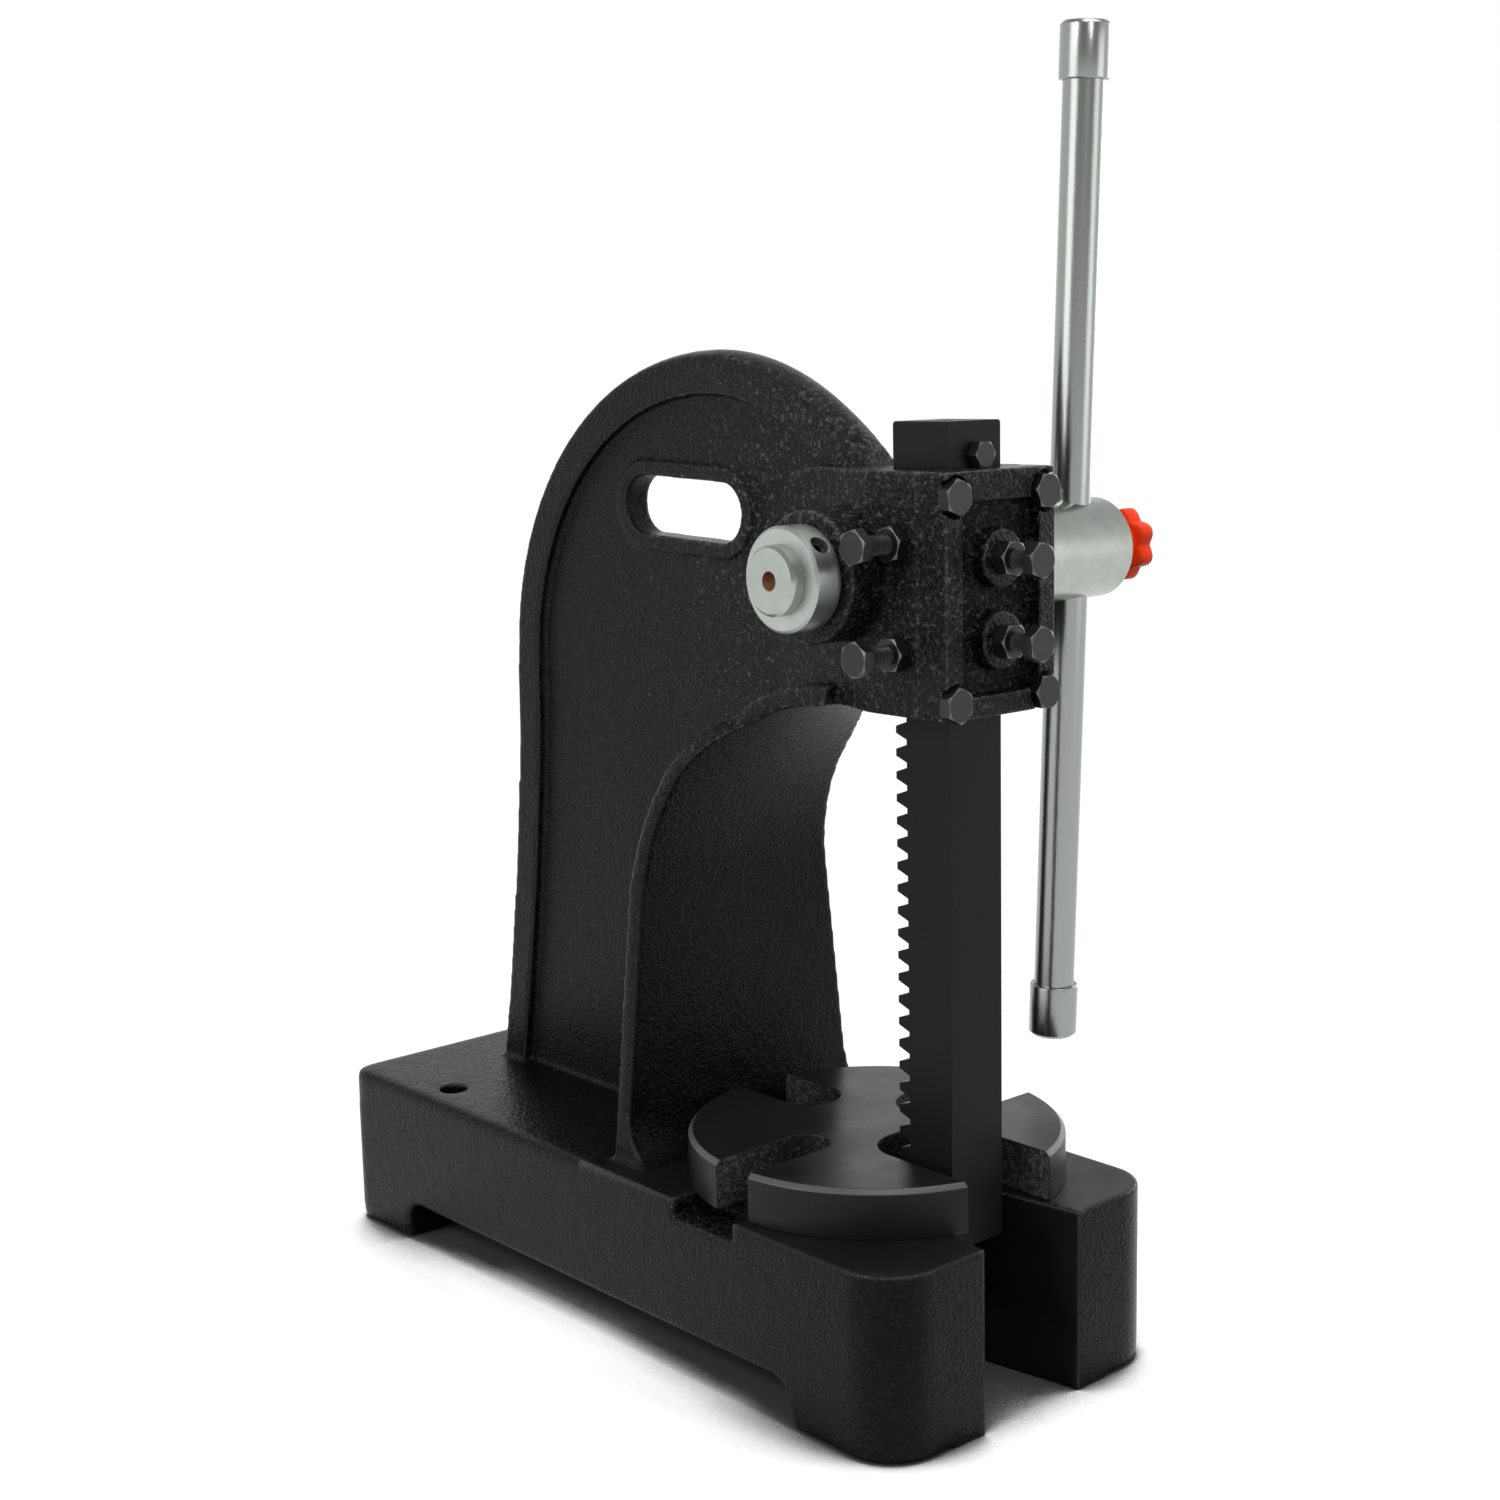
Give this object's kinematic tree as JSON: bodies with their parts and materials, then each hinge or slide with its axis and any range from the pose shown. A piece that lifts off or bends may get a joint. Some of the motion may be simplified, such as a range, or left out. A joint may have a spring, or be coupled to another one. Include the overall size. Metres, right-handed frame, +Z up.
{
  "type": "rack and pinion arbor press",
  "caption": "Bench arbor press: cast frame, square rack ram raised by a pinion and a sliding lever bar, round slotted anvil plate.",
  "frame": {"origin": "where the axis of the ram meets the bench, in the plane of the feet", "axes": "+Z up along the ram, +X along the pinion shaft towards the handle, the throat faces -Y"},
  "size_m": [0.2304, 0.3931, 0.5668],
  "materials": {
    "casting_paint": "semi-gloss black, fine hammered grain",
    "black_oxide": "black oxide",
    "ram_steel": "ground steel, black oxide",
    "plate_black": "satin black, machined",
    "bright_steel": "turned, zinc plated",
    "plated_bar": "polished, plated",
    "red_plastic": "glossy red-orange",
    "gib_iron": "machined"
  },
  "bodies": {
    "frame": {"frame_casting": "casting_paint", "front_cover": "casting_paint", "cover_bolt_top_left": "black_oxide", "cover_bolt_top_right": "black_oxide", "cover_bolt_bottom_left": "black_oxide", "cover_bolt_bottom_right": "black_oxide", "front_screw_upper": "black_oxide", "front_screw_lower": "black_oxide", "front_nut_upper": "black_oxide", "front_nut_lower": "black_oxide", "front_gib": "gib_iron", "side_screw_upper": "black_oxide", "side_screw_lower": "black_oxide", "side_nut_upper": "black_oxide", "side_nut_lower": "black_oxide", "side_gib": "gib_iron", "plate_pivot": "gib_iron"},
    "ram": {"ram": "ram_steel", "stop_bolt": "black_oxide"},
    "pinion": {"pinion_shaft": "bright_steel", "shaft_collar": "bright_steel", "collar_screw": "black_oxide"},
    "handle": {"handle_bar": "plated_bar", "bar_cap_upper": "plated_bar", "bar_cap_lower": "plated_bar"},
    "knob": {"lock_knob": "red_plastic", "clamp_screw": "bright_steel"},
    "plate": {"anvil_plate": "plate_black"}
  },
  "joints": [
    {"name": "pinion_turn", "type": "hinge", "parent": "frame", "child": "pinion", "pos_m": [0, 0.0288, 0.34365], "axis": [-1, 0, 0], "range_deg": [0, 810]},
    {"name": "ram_slide", "type": "slide", "parent": "frame", "child": "ram", "axis": [0, 0, 1], "range_m": [0, 0.2121]},
    {"name": "handle_slide", "type": "slide", "parent": "pinion", "child": "handle", "axis": [0, -0.0396, 0.9992], "range_m": [-0.11, 0.11]},
    {"name": "knob_turn", "type": "hinge", "parent": "pinion", "child": "knob", "pos_m": [0.1252, 0.0288, 0.34365], "axis": [1, 0, 0], "range_deg": [0, 360]},
    {"name": "plate_turn", "type": "hinge", "parent": "frame", "child": "plate", "pos_m": [0.0046, 0.0494, 0.0786], "axis": [0, 0, 1], "range_deg": [-11, 4]}
  ],
  "couplings": [
    {"joint": "ram_slide", "follows": "pinion_turn", "m_per_rad": 0.015}
  ]
}
